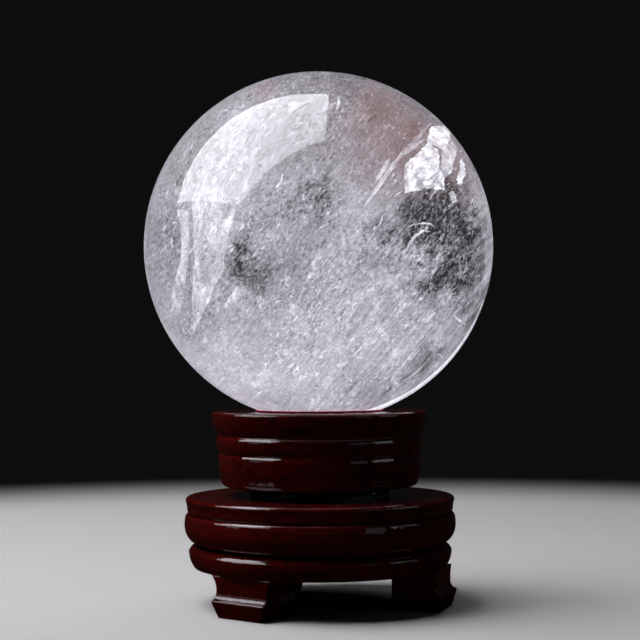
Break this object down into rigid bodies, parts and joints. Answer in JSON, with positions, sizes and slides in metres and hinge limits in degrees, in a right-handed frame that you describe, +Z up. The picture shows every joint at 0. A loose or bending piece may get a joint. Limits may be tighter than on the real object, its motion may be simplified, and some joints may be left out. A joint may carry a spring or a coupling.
{
  "type": "crystal ball on a turntable stand",
  "caption": "Polished rock-crystal ball resting in the felt-lined seat of a lacquered, turned wooden stand whose cup spins on a hidden ball-bearing turntable above a low base on block legs.",
  "frame": {"origin": "on the table, at the stand's axis", "axes": "+Z up along the turntable's axis; the front is -Y, with the front-left leg at -127.5 degrees and the right leg at -18 degrees from +X"},
  "size_m": [0.1, 0.1, 0.152],
  "materials": {
    "rock_crystal": "polished natural quartz with pale veils and flecks inside",
    "felt": "short wool felt",
    "lacquered_wood": "dark red-brown stain under thick gloss lacquer",
    "bare_wood": "bare turned hardwood",
    "black_steel": "pressed steel under thin black enamel",
    "plated_steel": "zinc-plated steel",
    "ball_steel": "polished bearing steel",
    "brass": "stamped, slightly dulled"
  },
  "bodies": {
    "base": {"base_board": "lacquered_wood", "base_drum": "lacquered_wood", "foot_ring": "lacquered_wood", "leg_front_left": "lacquered_wood", "leg_right": "lacquered_wood", "leg_rear": "lacquered_wood", "leg_dowels": "bare_wood", "base_screws": "plated_steel", "turntable_lower_plate": "black_steel", "lower_plate_screws": "plated_steel", "centre_rivet": "plated_steel"},
    "bearing_cage": {"bearing_balls": "ball_steel", "ball_retainer": "brass"},
    "turntable": {"turntable_upper_plate": "black_steel", "upper_plate_screws": "plated_steel", "seat_cup": "lacquered_wood", "seat_liner": "felt"},
    "ball": {"crystal_ball": "rock_crystal"}
  },
  "joints": [
    {"name": "turntable_spin", "type": "hinge", "parent": "base", "child": "turntable", "pos_m": [0, 0, 0.033], "axis": [0, 0, 1], "continuous": true},
    {"name": "cage_spin", "type": "hinge", "parent": "base", "child": "bearing_cage", "pos_m": [0, 0, 0.033], "axis": [0, 0, 1], "continuous": true},
    {"name": "ball_lift", "type": "slide", "parent": "turntable", "child": "ball", "axis": [0, 0, 1], "range_m": [0, 0.06]}
  ],
  "couplings": [
    {"joint": "cage_spin", "follows": "turntable_spin", "ratio": 0.5}
  ]
}
